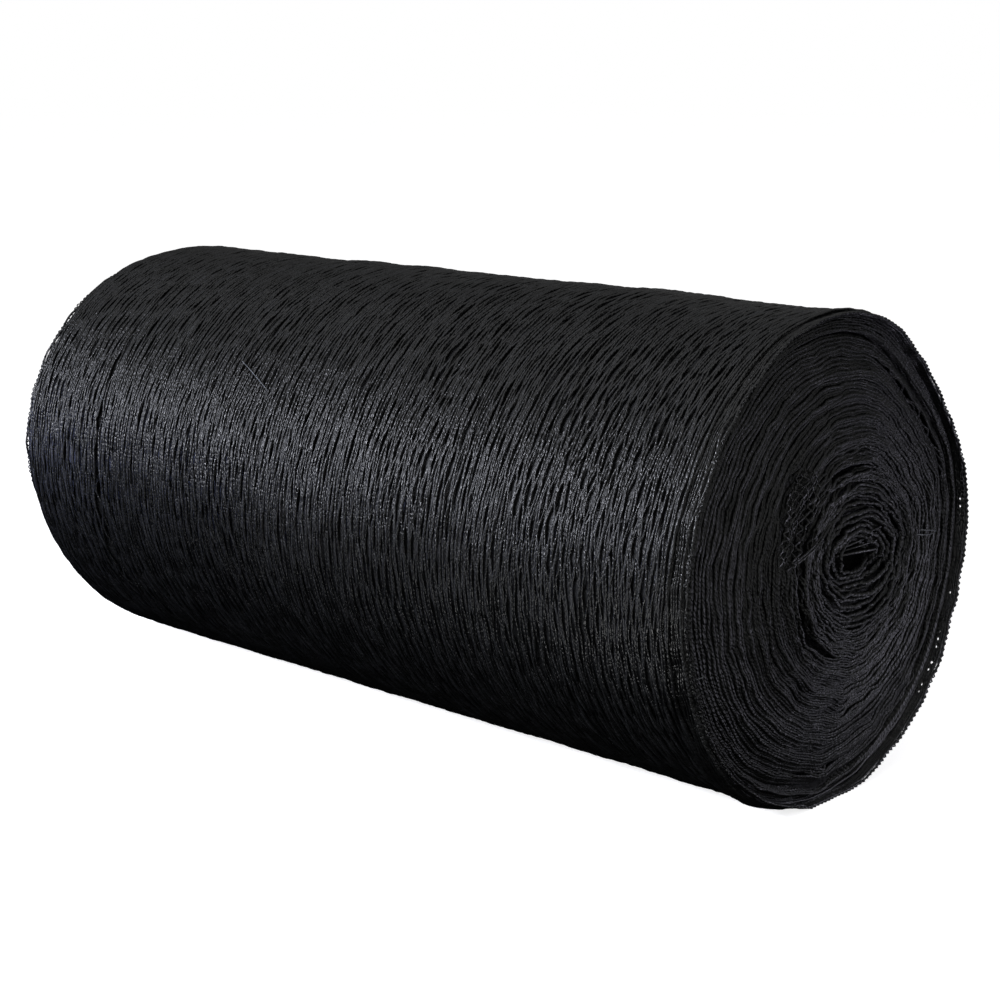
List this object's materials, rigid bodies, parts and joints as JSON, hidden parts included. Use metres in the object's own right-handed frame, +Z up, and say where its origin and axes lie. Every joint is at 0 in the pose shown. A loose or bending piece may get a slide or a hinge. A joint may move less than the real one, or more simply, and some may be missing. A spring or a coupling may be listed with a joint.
{
  "type": "bird netting roll",
  "caption": "Roll of black knitted bird netting wound tight on itself with no core, lying on its side, its layer edges spiralling on both ends.",
  "frame": {"origin": "middle of the roll's footprint, on the surface that it lies on", "axes": "+X along the roll towards the end that the picture shows, +Z up, +Y away from the side that the picture shows"},
  "size_m": [0.528, 0.2522, 0.25],
  "materials": {
    "netting": "black polyethylene net twine, satin"
  },
  "bodies": {
    "root": {"netting_roll": "netting"}
  },
  "joints": []
}
